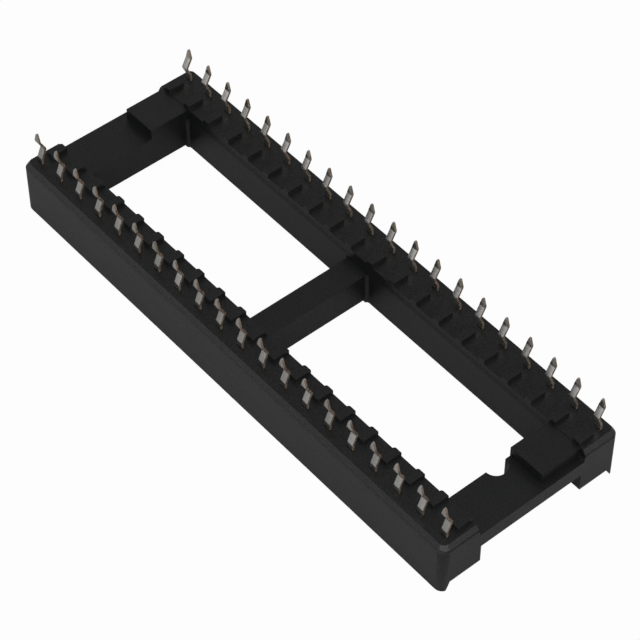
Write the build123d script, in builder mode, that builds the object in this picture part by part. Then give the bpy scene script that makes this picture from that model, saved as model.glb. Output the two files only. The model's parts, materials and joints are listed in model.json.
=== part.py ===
"""Forty-way socket for a dual-in-line chip, built lying on its chip face with the solder tails up.

One moulded housing (two rails, two end bars, a crossbar and two open windows) carries forty
stamped contacts. Each contact is one folded strip: a C-shaped root that fits its cavity, two
facing leaves that grip a chip leg, and a cranked solder tail that leaves through a slot in the
board face. X runs along the socket towards the notched end, Z runs from the chip face to the
tail tips.
"""
import math
import os

from build123d import *

os.makedirs("parts", exist_ok=True)

# the standard pattern that a chip and a board share
pitch = 2.54
places_per_row = 20
row_spacing = 15.24

# rails, measured across from the line of tails
rail_inward = 2.5
rail_outward = 1.03
step_depth = 0.08
pad_inward = 0.97

# plan of the ends, bars and windows
end_gap = 0.15
corner_radius = 0.7
bar_depth = 3.92
crossbar_width = 2.36
window_radius = 0.3
notch_radius = 0.95
bar_cut_margin = 0.2
end_cut_depth = 1.9
block_setback = 0.6
block_width = 3.8
pad_width = 0.75

# heights: ribs and pads stand out from the two faces, blocks from the bars; the lift and the cut
# are taken up from the chip face, the drops down from the board face
rib_height = 0.9
body_height = 4.15
pad_height = 0.38
bar_lift = 0.35
end_cut_height = 1.7
bar_drop = 1.05
block_height = 1.0
step_drop = 0.75
web_drop = 0.75

# upper rim of the outside wall, and the guide ribs along it on the chip face
rim_height = 0.45
rim_inset = 0.08
rim_chamfer = 0.25
rim_chamfer_height = 0.38
rib_root = 0.8
rib_tip = 0.45

# cavities for the contacts, with their mouths and exit slots
cavity_width = 1.5
cavity_depth = 1.24
mouth_chamfer = 0.15
slot_side_gap = 0.06
slot_inner_gap = 0.12
slot_outer_gap = 0.03

# contact strip, its root and its leaves
stock = 0.2
play = 0.02
root_height = 1.1
tongue_depth = 0.45
tongue_straight = 0.12
tongue_drop = 0.1
leaf_gap = 0.1
leaf_flare = 0.4
leaf_root_width = 0.9
leaf_tip_width = 0.7
leaf_tip_depth = 0.35
grip_depth = 1.2

# solder tail, in heights over the board face and in offsets from the row of board holes
tail_width = 0.56
tail_end_width = 0.4
tail_point_width = 0.14
tail_point = 0.45
tail_root_offset = 0.1
tail_straight = 0.55
tail_kink = 1.45
tail_kink_offset = 0.48
tail_taper_start = 2.45
tail_return = 2.35
tail_length = 3.15
tail_bend = 0.25

# sizes that follow from the ones above
row = row_spacing / 2
first_place = -(places_per_row - 1) / 2 * pitch
length = places_per_row * pitch - 2 * end_gap
width = row_spacing + 2 * rail_outward
half_length = length / 2
half_width = width / 2
rail_inner = row - rail_inward
pad_inner = rail_inner + step_depth
pad_outer = row - pad_inward
pad_centre = (pad_inner + pad_outer) / 2
bar_inner = half_length - bar_depth
window_length = bar_inner - crossbar_width / 2
window_centre = (bar_inner + crossbar_width / 2) / 2
bar_cut_half_width = rail_inner - bar_cut_margin
chip_face = rib_height
board_face = chip_face + body_height
bar_bottom = chip_face + bar_lift
bar_top = board_face - bar_drop
end_cut_top = chip_face + end_cut_height
inner_step = board_face - step_drop
web_bottom = board_face - web_drop
rim_start = board_face - rim_height
tail_tip = board_face + tail_length
root_depth = cavity_depth - 2 * play
root_width = cavity_width - 2 * play
root_bottom = web_bottom - root_height
wall = (root_depth - stock) / 2
grip = (leaf_gap + stock) / 2
grip_level = chip_face + grip_depth
leaf_tip = chip_face + leaf_tip_depth
tongue_start = web_bottom - tongue_depth
tail_root = row - tail_root_offset
slot_inner = tail_root - stock / 2 - slot_inner_gap
slot_outer = tail_root + stock / 2 + slot_outer_gap
slot_width = tail_width + 2 * slot_side_gap
beyond = 1.0


def along_rows(y_value):
    """Places of one row position on both rails."""
    return [(first_place + n * pitch, side * y_value) for side in (-1, 1) for n in range(places_per_row)]


def build_housing():
    with BuildPart() as housing:
        # outside walls, then the slightly inset upper rim with its chamfer
        with BuildSketch():
            RectangleRounded(length, width, corner_radius)
        extrude(amount=rim_start)
        with BuildSketch(Plane.XY.offset(rim_start)):
            RectangleRounded(length - 2 * rim_inset, width - 2 * rim_inset, corner_radius)
        extrude(amount=board_face - rim_start)
        top = housing.faces().sort_by(Axis.Z)[-1]
        chamfer(top.edges(), length=rim_chamfer, length2=rim_chamfer_height, reference=top)

        # hollow chip side between the two guide ribs
        with BuildSketch(Plane.YZ):
            with BuildLine():
                Polyline(
                    (-(half_width - rib_tip), -beyond),
                    (-(half_width - rib_tip), 0),
                    (-(half_width - rib_root), chip_face),
                    (half_width - rib_root, chip_face),
                    (half_width - rib_tip, 0),
                    (half_width - rib_tip, -beyond),
                    close=True,
                )
            make_face()
        extrude(amount=half_length + beyond, both=True, mode=Mode.SUBTRACT)

        # two windows on either side of the crossbar
        with BuildSketch():
            with Locations((-window_centre, 0), (window_centre, 0)):
                RectangleRounded(window_length, 2 * rail_inner, window_radius)
        extrude(amount=board_face + beyond, mode=Mode.SUBTRACT)

        # bars and crossbar lie lower than the rails on both faces
        with BuildSketch(Plane.XY.offset(bar_top)):
            Rectangle(length + beyond, 2 * rail_inner)
        extrude(amount=board_face, mode=Mode.SUBTRACT)
        with BuildSketch():
            Rectangle(length + beyond, 2 * bar_cut_half_width)
        extrude(amount=bar_bottom, mode=Mode.SUBTRACT)

        # prying recesses under both end bars
        with BuildSketch():
            with Locations((-half_length, 0), (half_length, 0)):
                Rectangle(2 * end_cut_depth, 2 * bar_cut_half_width)
        extrude(amount=end_cut_top, mode=Mode.SUBTRACT)

        # set-back strip along the upper inner edge of both rails
        with BuildSketch(Plane.YZ):
            for side in (-1, 1):
                with BuildLine():
                    Polyline(
                        (side * (rail_inner - step_depth), inner_step),
                        (side * rail_inner, inner_step),
                        (side * pad_inner, inner_step + 2 * step_depth),
                        (side * pad_inner, board_face + beyond),
                        (side * (rail_inner - step_depth), board_face + beyond),
                        close=True,
                    )
                make_face()
        extrude(amount=half_length + beyond, both=True, mode=Mode.SUBTRACT)

        # one raised pad inward of every tail keeps the rails clear of the board
        with BuildSketch(Plane.XY.offset(board_face)):
            with Locations(*along_rows(pad_centre)):
                Rectangle(pad_width, pad_outer - pad_inner)
        extrude(amount=pad_height)

        # two raised blocks on the end bars, both beside the same rail
        block_length = bar_depth - block_setback
        with BuildSketch(Plane.XY.offset(bar_top)):
            for end in (-1, 1):
                with Locations((end * (bar_inner + block_length / 2), pad_inner - block_width / 2)):
                    Rectangle(block_length, block_width)
        extrude(amount=block_height)

        # half-round notch that marks the first place
        with BuildSketch():
            with Locations((bar_inner, 0)):
                Circle(notch_radius)
        extrude(amount=bar_top + beyond, mode=Mode.SUBTRACT)

        # contact cavities, which also notch the inside of the guide ribs
        with BuildSketch():
            with Locations(*along_rows(row)):
                Rectangle(cavity_width, cavity_depth)
        extrude(amount=web_bottom, mode=Mode.SUBTRACT)
        mouths = (
            housing.faces()
            .filter_by(Axis.Z)
            .filter_by_position(Axis.Z, chip_face, chip_face)
            .edges()
            .filter_by(lambda edge: row - cavity_depth < abs(edge.center().Y) < half_width - rib_root)
            .filter_by(lambda edge: abs(edge.center().X) < half_length - end_gap)
        )
        chamfer(mouths, length=mouth_chamfer)

        # exit slots for the tails
        with BuildSketch(Plane.XY.offset(web_bottom)):
            with Locations(*along_rows((slot_inner + slot_outer) / 2)):
                Rectangle(slot_width, slot_outer - slot_inner)
        extrude(amount=board_face + beyond - web_bottom, mode=Mode.SUBTRACT)
    return housing


def build_contact(x_place, side):
    """One contact: root, leaves and tail, turned half round for the row on the other side."""
    profile_plane = Plane(origin=(x_place, side * row, 0), x_dir=(0, side, 0), z_dir=(side, 0, 0))
    front_plane = Plane(origin=(x_place, side * row, 0), x_dir=(1, 0, 0), z_dir=(0, -1, 0))
    root_plane = Plane(origin=(x_place, side * row, root_bottom), x_dir=(0, side, 0), z_dir=(0, 0, 1))
    with BuildPart() as contact:
        # both leaves and the tail as bent strips, seen along the socket
        with BuildSketch(profile_plane):
            for leaf_side in (-1, 1):
                with BuildLine():
                    Polyline(
                        (leaf_side * leaf_flare, leaf_tip - stock),
                        (leaf_side * grip, grip_level),
                        (leaf_side * wall, root_bottom),
                        (leaf_side * wall, tongue_start),
                    )
                    offset(amount=stock / 2, side=Side.BOTH, kind=Kind.INTERSECTION)
                make_face()
            with BuildLine():
                tongue = Polyline(
                    (-wall, tongue_start),
                    (-wall, tongue_start + tongue_straight),
                    (-tail_root_offset, web_bottom - tongue_drop),
                )
                FilletPolyline(
                    tongue @ 1,
                    (-tail_root_offset, board_face + tail_straight),
                    (-tail_kink_offset, board_face + tail_kink),
                    (0, board_face + tail_return),
                    (0, tail_tip),
                    radius=tail_bend,
                )
                offset(amount=stock / 2, side=Side.BOTH, kind=Kind.INTERSECTION)
            make_face()
        extrude(amount=cavity_width / 2, both=True)

        # outline of the leaves and the tail, seen from the side of the socket
        with BuildSketch(front_plane):
            with BuildLine():
                right_side = Polyline(
                    (0, leaf_tip),
                    (leaf_tip_width / 2, leaf_tip),
                    (leaf_root_width / 2, root_bottom),
                    (leaf_root_width / 2, tongue_start),
                    (tail_width / 2, tongue_start),
                    (tail_width / 2, board_face + tail_taper_start),
                    (tail_end_width / 2, tail_tip - tail_point),
                    (tail_point_width / 2, tail_tip),
                    (0, tail_tip),
                )
                mirror(right_side, about=Plane.YZ)
            make_face()
        extrude(amount=row, both=True, mode=Mode.INTERSECT)

        # C-shaped root; its inner wall stops where the tail's tongue bends out of it
        with BuildSketch(root_plane):
            Rectangle(root_depth, root_width)
            with Locations((0, -stock)):
                Rectangle(root_depth - 2 * stock, root_width, mode=Mode.SUBTRACT)
        extrude(amount=root_height - tongue_depth)
        with BuildSketch(root_plane.offset(root_height - tongue_depth)):
            Rectangle(root_depth, root_width)
            with Locations((0, -stock)):
                Rectangle(root_depth - 2 * stock, root_width, mode=Mode.SUBTRACT)
            with Locations((-wall, 0)):
                Rectangle(stock, root_width, mode=Mode.SUBTRACT)
        extrude(amount=tongue_depth)
    return contact


socket_housing = build_housing()
socket_housing.part.label = "housing"
export_step(socket_housing.part, "parts/housing.step")

for number in range(1, 2 * places_per_row + 1):
    # the first contact stands beside the notch; the count runs down one row and back up the other
    step = number - 1
    if step < places_per_row:
        x_place, side = first_place + (places_per_row - 1 - step) * pitch, -1
    else:
        x_place, side = first_place + (step - places_per_row) * pitch, 1
    contact = build_contact(x_place, side)
    contact.part.label = f"contact_{number:02d}"
    export_step(contact.part, f"parts/{contact.part.label}.step")
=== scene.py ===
"""Looks of a forty-way chip socket on its chip face: black moulding, tinned contacts, pale table."""

import json
import math

import bpy
from mathutils import Matrix, Vector

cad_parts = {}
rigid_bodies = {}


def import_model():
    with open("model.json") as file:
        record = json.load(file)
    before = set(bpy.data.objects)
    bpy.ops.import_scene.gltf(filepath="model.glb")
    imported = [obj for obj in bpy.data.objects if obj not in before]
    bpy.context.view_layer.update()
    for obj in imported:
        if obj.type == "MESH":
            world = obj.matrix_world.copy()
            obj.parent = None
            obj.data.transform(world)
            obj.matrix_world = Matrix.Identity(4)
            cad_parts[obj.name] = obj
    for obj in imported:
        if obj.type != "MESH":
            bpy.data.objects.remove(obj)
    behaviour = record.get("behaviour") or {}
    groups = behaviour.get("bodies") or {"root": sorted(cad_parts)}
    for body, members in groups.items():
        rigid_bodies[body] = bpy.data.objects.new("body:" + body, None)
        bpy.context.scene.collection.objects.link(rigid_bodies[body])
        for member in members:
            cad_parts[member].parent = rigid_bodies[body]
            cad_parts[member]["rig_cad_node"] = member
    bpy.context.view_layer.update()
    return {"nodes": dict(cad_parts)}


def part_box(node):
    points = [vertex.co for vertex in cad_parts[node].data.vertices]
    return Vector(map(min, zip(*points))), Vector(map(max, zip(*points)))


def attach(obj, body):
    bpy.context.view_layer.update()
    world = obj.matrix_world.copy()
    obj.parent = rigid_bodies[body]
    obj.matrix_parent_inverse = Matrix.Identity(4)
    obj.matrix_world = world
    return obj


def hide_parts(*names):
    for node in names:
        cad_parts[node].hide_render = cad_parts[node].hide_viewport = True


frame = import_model()

MILLIMETRE = 0.001
HALF_LENGTH, HALF_WIDTH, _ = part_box("housing")[1]

# camera, as the photograph was taken
VIEW_AZIMUTH = 50.0
VIEW_ELEVATION = 48.68
VIEW_ROLL = -0.08
VIEW_DISTANCE = 195.4 * MILLIMETRE
VIEW_AIM = Vector((-0.29, 1.56, 0.0)) * MILLIMETRE
SENSOR_WIDTH = 36.0
LENS = 140.5

# widths asked for at the edges, which the clamp narrows to about 0.0015 mm and 0.0024 mm
MOULDED_EDGE = 0.05 * MILLIMETRE
STAMPED_EDGE = 0.03 * MILLIMETRE
EDGE_SEGMENTS = 2
CORNER_SEGMENTS = 4
FLAT_ANGLE = math.radians(0.5)
EDGE_ANGLE = math.radians(28)
SMOOTH_ANGLE = math.radians(50)
MERGED = 0.0005 * MILLIMETRE
NEAR = 0.01 * MILLIMETRE

# raised pads on the rails, one to a contact, with one rounder upright corner over the window
PITCH = 2.54 * MILLIMETRE
PLACES = 20
RAIL_TOP = 5.05 * MILLIMETRE
PAD_INNER = 5.20 * MILLIMETRE
PAD_WIDTH = 0.75 * MILLIMETRE
PAD_EDGE = -(PLACES - 1) / 2 * PITCH - PAD_WIDTH / 2
PAD_CORNER = 0.2 * MILLIMETRE

# feet at the ends, beside the prying recesses; the clamp narrows their corners to about 0.04 mm
CHIP_FACE = 0.9 * MILLIMETRE
FOOT_TOP = 2.6 * MILLIMETRE
FOOT_SIDE = 4.92 * MILLIMETRE
FOOT_START = 21.0 * MILLIMETRE
FOOT_LENGTH = 1.5 * MILLIMETRE
FOOT_CORNER = 0.3 * MILLIMETRE

# ends of the guide ribs; the clamp narrows their corners to about 0.04 mm
RIB_END = 24.4 * MILLIMETRE
RIB_CORNER = 0.3 * MILLIMETRE

# upper rim and the tails' slots
RIM_START = 4.60 * MILLIMETRE
RIM_SLOPE = 0.12 * MILLIMETRE
WALL_CORNER = 0.7 * MILLIMETRE
WALL_LINE = 0.03 * MILLIMETRE
SLOT_INNER = 7.30 * MILLIMETRE
SLOT_LEAN = 0.09 * MILLIMETRE

# dark and pale tones of the three finishes
PLASTIC = (0.0046, 0.0053, 0.0049), (0.0056, 0.0063, 0.0059)
TIN = (0.55, 0.54, 0.51), (0.72, 0.71, 0.69)
BRONZE = (0.16, 0.110, 0.076), (0.28, 0.215, 0.165)

# light, as the photograph's shadows and shades give it
TOP_POWER = 1.45
FRONT_POWER = 3.4
HORIZON = 0.95
CEILING = 0.225
HORIZON_HEIGHT = 0.1
CEILING_HEIGHT = 0.55

# table: its grey in the light, and how much of plain white the camera and a reflection see of it
TABLE = 0.4
TABLE_SIZE = 3.0
TABLE_DROP = 0.01 * MILLIMETRE
SHOWN = 0.975
MIRRORED = 0.03


def select_only(piece):
    """Makes one object the active object and the only selected one."""
    bpy.ops.object.select_all(action="DESELECT")
    piece.select_set(True)
    bpy.context.view_layer.objects.active = piece


def select_none(kind):
    """Deselects the active mesh all over, ready for a choice of its points or edges."""
    bpy.ops.object.mode_set(mode="EDIT")
    bpy.ops.mesh.select_mode(type=kind)
    bpy.ops.mesh.select_all(action="DESELECT")
    bpy.ops.object.mode_set(mode="OBJECT")


def move_points(piece, chosen, shift):
    """Moves the points that a test on their place picks."""
    select_none("VERT")
    for point in piece.data.vertices:
        point.select = chosen(point.co)
    bpy.ops.object.mode_set(mode="EDIT")
    bpy.ops.transform.translate(value=shift)
    bpy.ops.object.mode_set(mode="OBJECT")


def round_edges(piece, chosen, width):
    """Rounds the edges that a test on their two ends picks, as far as the clamp allows."""
    select_none("EDGE")
    corners = piece.data.vertices
    for edge in piece.data.edges:
        edge.select = chosen(*(corners[index].co for index in edge.vertices))
    bpy.ops.object.mode_set(mode="EDIT")
    bpy.ops.mesh.bevel(offset=width, segments=CORNER_SEGMENTS, affect="EDGES", clamp_overlap=True)
    bpy.ops.object.mode_set(mode="OBJECT")


def upright_pad_corner(first, last):
    """The pads' upright edges over the windows, on the side away from the notch."""
    past_edge = (first.x - PAD_EDGE) % PITCH
    return (
        (first - last).xy.length < NEAR
        and min(first.z, last.z) > RAIL_TOP - NEAR
        and abs(abs(first.y) - PAD_INNER) < NEAR
        and min(past_edge, PITCH - past_edge) < NEAR
    )


def foot_corner(first, last):
    """The long edges of the feet, above and below the prying recesses."""
    return (
        (first - last).yz.length < NEAR
        and abs(first.x - last.x) > FOOT_LENGTH
        and min(abs(first.x), abs(last.x)) > FOOT_START
        and abs(abs(first.y) - FOOT_SIDE) < NEAR
        and min(abs(first.z - CHIP_FACE), abs(first.z - FOOT_TOP)) < NEAR
    )


def rib_end(first, last):
    """The lowest edges of the guide ribs at their four ends."""
    return max(first.z, last.z) < NEAR and min(abs(first.x), abs(last.x)) > RIB_END


def rim_outer_line(point):
    """The points at the foot of the upper rim that lie on the outside walls and their corners."""
    inset = Vector((HALF_LENGTH - abs(point.x), HALF_WIDTH - abs(point.y)))
    if max(inset) < WALL_CORNER:
        depth = WALL_CORNER - (Vector((WALL_CORNER, WALL_CORNER)) - inset).length
    else:
        depth = min(inset)
    return abs(point.z - RIM_START) < NEAR and depth < WALL_LINE


def slot_mouth(point):
    """The points at the inner walls of the tails' slots, in the rails' tops."""
    return abs(point.z - RAIL_TOP) < NEAR and abs(abs(point.y) - SLOT_INNER) < NEAR


def finish_moulding(piece):
    """Small forms of the housing: a sloped rim, close slots, and its rounder corners."""
    move_points(piece, rim_outer_line, (0, 0, -RIM_SLOPE))
    move_points(piece, lambda point: slot_mouth(point) and point.y > 0, (0, SLOT_LEAN, 0))
    move_points(piece, lambda point: slot_mouth(point) and point.y < 0, (0, -SLOT_LEAN, 0))
    round_edges(piece, upright_pad_corner, PAD_CORNER)
    round_edges(piece, foot_corner, FOOT_CORNER)
    round_edges(piece, rib_end, RIB_CORNER)


def clean_copy(node_name, piece_name, edge_width, finish=None):
    """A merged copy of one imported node, its edges just broken, which stands for that node."""
    select_only(frame["nodes"][node_name])
    bpy.ops.object.duplicate()
    piece = bpy.context.view_layer.objects.active
    piece.name = piece_name
    piece.data.name = piece_name
    del piece["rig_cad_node"]
    bpy.ops.object.mode_set(mode="EDIT")
    bpy.ops.mesh.select_all(action="SELECT")
    bpy.ops.mesh.remove_doubles(threshold=MERGED)
    bpy.ops.mesh.dissolve_limited(angle_limit=FLAT_ANGLE)
    bpy.ops.object.mode_set(mode="OBJECT")
    if finish:
        finish(piece)
    rounding = piece.modifiers.new("edge_rounding", "BEVEL")
    rounding.width = edge_width
    rounding.segments = EDGE_SEGMENTS
    rounding.limit_method = "ANGLE"
    rounding.angle_limit = EDGE_ANGLE
    rounding.use_clamp_overlap = True
    rounding.harden_normals = False
    bpy.ops.object.modifier_apply(modifier=rounding.name)
    bpy.ops.object.shade_smooth_by_angle(angle=SMOOTH_ANGLE)
    flats = piece.modifiers.new("flat_faces", "WEIGHTED_NORMAL")
    flats.keep_sharp = True
    bpy.ops.object.modifier_apply(modifier=flats.name)
    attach(piece, "root")
    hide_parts(node_name)
    return piece


def add_node(tree, kind, settings=None, inputs=None):
    """A shader node with its settings and its unlinked input values."""
    made = tree.nodes.new(kind)
    for name, value in (settings or {}).items():
        setattr(made, name, value)
    for name, value in (inputs or {}).items():
        made.inputs[name].default_value = value
    return made


def new_material(name):
    """An empty node material with its output."""
    material = bpy.data.materials.new(name)
    material.use_nodes = True
    material.node_tree.nodes.clear()
    return material, material.node_tree, add_node(material.node_tree, "ShaderNodeOutputMaterial")


def dress(piece, material):
    """Gives a piece one material all over."""
    piece.data.materials.clear()
    piece.data.materials.append(material)


def noise_on_object(tree, scale, detail, roughness, stretch=(1.0, 1.0, 1.0)):
    """A noise pattern fixed to the piece, finer or coarser along each axis."""
    place = add_node(tree, "ShaderNodeTexCoord")
    mapping = add_node(tree, "ShaderNodeMapping", inputs={"Scale": stretch})
    noise = add_node(
        tree,
        "ShaderNodeTexNoise",
        inputs={"Scale": scale, "Detail": detail, "Roughness": roughness},
    )
    tree.links.new(place.outputs["Object"], mapping.inputs["Vector"])
    tree.links.new(mapping.outputs["Vector"], noise.inputs["Vector"])
    return noise.outputs["Fac"]


def spread(tree, value, low, high, low_result, high_result):
    """Maps a value from one range to another, clamped."""
    made = add_node(
        tree,
        "ShaderNodeMapRange",
        inputs={"From Min": low, "From Max": high, "To Min": low_result, "To Max": high_result},
    )
    tree.links.new(value, made.inputs["Value"])
    return made.outputs["Result"]


def mix_colours(tree, factor, first, second):
    """Blends two colours, each a fixed colour or another node's output."""
    made = add_node(tree, "ShaderNodeMix", {"data_type": "RGBA"})
    tree.links.new(factor, made.inputs["Factor"])
    for socket, colour in ((made.inputs[6], first), (made.inputs[7], second)):
        if isinstance(colour, bpy.types.NodeSocket):
            tree.links.new(colour, socket)
        else:
            socket.default_value = (*colour, 1.0)
    return made.outputs[2]


def roughen(tree, surface, pattern, strength, depth):
    """Lets a pattern stand proud of a surface by a small depth."""
    bump = add_node(tree, "ShaderNodeBump", inputs={"Strength": strength, "Distance": depth})
    tree.links.new(pattern, bump.inputs["Height"])
    tree.links.new(bump.outputs["Normal"], surface.inputs["Normal"])


def black_moulding():
    """Black glass-filled plastic, slightly glossy, with a fine grain and faint flow marks."""
    material, tree, output = new_material("black_moulding")
    surface = add_node(tree, "ShaderNodeBsdfPrincipled", inputs={"IOR": 1.5})
    cloud = noise_on_object(tree, 260, 3, 0.6)
    flow = noise_on_object(tree, 700, 4, 0.6, stretch=(0.15, 1.0, 1.0))
    colour = mix_colours(tree, spread(tree, cloud, 0.3, 0.7, 0, 1), *PLASTIC)
    tree.links.new(colour, surface.inputs["Base Color"])
    tree.links.new(spread(tree, flow, 0.3, 0.7, 0.33, 0.39), surface.inputs["Roughness"])
    grain = noise_on_object(tree, 9000, 3, 0.6)
    tree.links.new(spread(tree, grain, 0.3, 0.7, 0.3, 0.7), surface.inputs["Specular IOR Level"])
    roughen(tree, surface, grain, strength=0.35, depth=0.008 * MILLIMETRE)
    tree.links.new(surface.outputs["BSDF"], output.inputs["Surface"])
    return material


def sheared_edge(tree):
    """Where the strip was cut: its faces that look along the row."""
    geometry = add_node(tree, "ShaderNodeNewGeometry")
    axes = add_node(tree, "ShaderNodeSeparateXYZ")
    tree.links.new(geometry.outputs["True Normal"], axes.inputs["Vector"])
    sideways = add_node(tree, "ShaderNodeMath", {"operation": "ABSOLUTE"})
    tree.links.new(axes.outputs["X"], sideways.inputs[0])
    return spread(tree, sideways.outputs["Value"], 0.7, 0.9, 0.0, 1.0)


def tinned_strip():
    """Tin plating over spring bronze; the sheared edges of the strip are bare, rough and brown."""
    material, tree, output = new_material("tinned_strip")
    surface = add_node(tree, "ShaderNodeBsdfPrincipled")
    bare = sheared_edge(tree)
    per_contact = noise_on_object(tree, 420, 0, 0.5, stretch=(1.0, 1.0, 0.05))
    plating = mix_colours(tree, spread(tree, per_contact, 0.35, 0.65, 0, 1), *TIN)
    worn = noise_on_object(tree, 3200, 3, 0.6)
    bronze = mix_colours(tree, spread(tree, worn, 0.35, 0.65, 0, 1), *BRONZE)
    tree.links.new(mix_colours(tree, bare, plating, bronze), surface.inputs["Base Color"])
    tree.links.new(spread(tree, bare, 0, 1, 1.0, 0.55), surface.inputs["Metallic"])
    roughness = add_node(tree, "ShaderNodeMath", {"operation": "ADD"})
    tree.links.new(spread(tree, worn, 0.3, 0.7, 0.20, 0.34), roughness.inputs[0])
    tree.links.new(spread(tree, bare, 0, 1, 0.0, 0.3), roughness.inputs[1])
    tree.links.new(roughness.outputs["Value"], surface.inputs["Roughness"])
    scratches = noise_on_object(tree, 9000, 2, 0.6, stretch=(1.0, 1.0, 0.12))
    roughen(tree, surface, scratches, strength=0.2, depth=0.004 * MILLIMETRE)
    tree.links.new(surface.outputs["BSDF"], output.inputs["Surface"])
    return material


def own_white_share(tree):
    """How far the table shows plain white: to the camera and through glass, and less when mirrored."""
    path = add_node(tree, "ShaderNodeLightPath")
    total = None
    for ray, share in (
        ("Is Camera Ray", SHOWN),
        ("Is Transmission Ray", SHOWN),
        ("Is Glossy Ray", MIRRORED),
    ):
        part = add_node(tree, "ShaderNodeMath", {"operation": "MULTIPLY"})
        part.inputs[1].default_value = share
        tree.links.new(path.outputs[ray], part.inputs[0])
        if total is None:
            total = part.outputs["Value"]
            continue
        larger = add_node(tree, "ShaderNodeMath", {"operation": "MAXIMUM"})
        tree.links.new(total, larger.inputs[0])
        tree.links.new(part.outputs["Value"], larger.inputs[1])
        total = larger.outputs["Value"]
    return total


def white_table():
    """A pale table top that shows white and keeps a faint shadow."""
    material, tree, output = new_material("white_table")
    matte = add_node(tree, "ShaderNodeBsdfDiffuse", inputs={"Color": (TABLE, TABLE, TABLE, 1.0)})
    white = {"Color": (1.0, 1.0, 1.0, 1.0), "Strength": 1.0}
    shine = add_node(tree, "ShaderNodeEmission", inputs=white)
    blend = add_node(tree, "ShaderNodeMixShader")
    tree.links.new(own_white_share(tree), blend.inputs["Fac"])
    tree.links.new(matte.outputs["BSDF"], blend.inputs[1])
    tree.links.new(shine.outputs["Emission"], blend.inputs[2])
    tree.links.new(blend.outputs["Shader"], output.inputs["Surface"])
    return material


def lay_table():
    """The floor on which the socket lies."""
    bpy.ops.object.select_all(action="DESELECT")
    bpy.ops.mesh.primitive_plane_add(size=TABLE_SIZE, location=(0, 0, -TABLE_DROP))
    table = bpy.context.object
    table.name = "table_top"
    dress(table, white_table())


def direction_from(azimuth, elevation):
    """The unit vector from the socket towards a camera or lamp; 0 is the front, 90 the notched end."""
    a, e = math.radians(azimuth), math.radians(elevation)
    return Vector((math.sin(a) * math.cos(e), -math.cos(a) * math.cos(e), math.sin(e)))


def hang_softbox(name, azimuth, elevation, distance, width, height, power):
    """A soft area light that looks at the socket from one side."""
    lamp = bpy.data.lights.new(name, "AREA")
    lamp.shape = "RECTANGLE"
    lamp.size = width
    lamp.size_y = height
    lamp.energy = power
    holder = bpy.data.objects.new(name, lamp)
    bpy.context.scene.collection.objects.link(holder)
    away = direction_from(azimuth, elevation)
    holder.location = away * distance
    holder.rotation_euler = away.to_track_quat("Z", "Y").to_euler()


def build_room():
    """The world: a pale horizon under a dim ceiling, and plain white where the camera sees it."""
    world = bpy.data.worlds.new("studio_room")
    bpy.context.scene.world = world
    world.use_nodes = True
    tree = world.node_tree
    tree.nodes.clear()
    output = add_node(tree, "ShaderNodeOutputWorld")
    white = {"Color": (1.0, 1.0, 1.0, 1.0), "Strength": 1.0}
    backdrop = add_node(tree, "ShaderNodeBackground", inputs=white)
    room = add_node(tree, "ShaderNodeBackground", inputs={"Strength": 1.0})
    direction = add_node(tree, "ShaderNodeTexCoord")
    axes = add_node(tree, "ShaderNodeSeparateXYZ")
    tree.links.new(direction.outputs["Generated"], axes.inputs["Vector"])
    height = spread(tree, axes.outputs["Z"], HORIZON_HEIGHT, CEILING_HEIGHT, 0, 1)
    shade = mix_colours(tree, height, (HORIZON, HORIZON, HORIZON), (CEILING, CEILING, CEILING))
    tree.links.new(shade, room.inputs["Color"])
    path = add_node(tree, "ShaderNodeLightPath")
    blend = add_node(tree, "ShaderNodeMixShader")
    tree.links.new(path.outputs["Is Camera Ray"], blend.inputs["Fac"])
    tree.links.new(room.outputs["Background"], blend.inputs[1])
    tree.links.new(backdrop.outputs["Background"], blend.inputs[2])
    tree.links.new(blend.outputs["Shader"], output.inputs["Surface"])


def light_socket():
    """Two softboxes on the camera's side: a square one overhead and a wide one low in front."""
    hang_softbox("top_softbox", 50, 75, distance=0.6, width=0.5, height=0.5, power=TOP_POWER)
    hang_softbox("front_softbox", 50, 22, distance=0.7, width=1.6, height=0.55, power=FRONT_POWER)


def set_camera():
    """The camera at the photograph's angle and distance."""
    data = bpy.data.cameras.new("photo_camera")
    data.sensor_width = SENSOR_WIDTH
    data.lens = LENS
    data.clip_start = VIEW_DISTANCE / 20
    data.clip_end = VIEW_DISTANCE * 50
    camera = bpy.data.objects.new("photo_camera", data)
    bpy.context.scene.collection.objects.link(camera)
    away = direction_from(VIEW_AZIMUTH, VIEW_ELEVATION)
    roll = Matrix.Rotation(math.radians(VIEW_ROLL), 3, "Z")
    turn = (-away).to_track_quat("-Z", "Y").to_matrix() @ roll
    camera.location = VIEW_AIM + away * VIEW_DISTANCE
    camera.rotation_euler = turn.to_euler()
    bpy.context.scene.camera = camera


set_camera()
lay_table()
build_room()
light_socket()

moulding = clean_copy("housing", "housing_moulding", MOULDED_EDGE, finish_moulding)
dress(moulding, black_moulding())

strip = tinned_strip()
for name in sorted(frame["nodes"]):
    if name.startswith("contact_"):
        contact = clean_copy(name, f"stamped_{name}", STAMPED_EDGE)
        dress(contact, strip)

bpy.context.scene.view_settings.view_transform = "Standard"
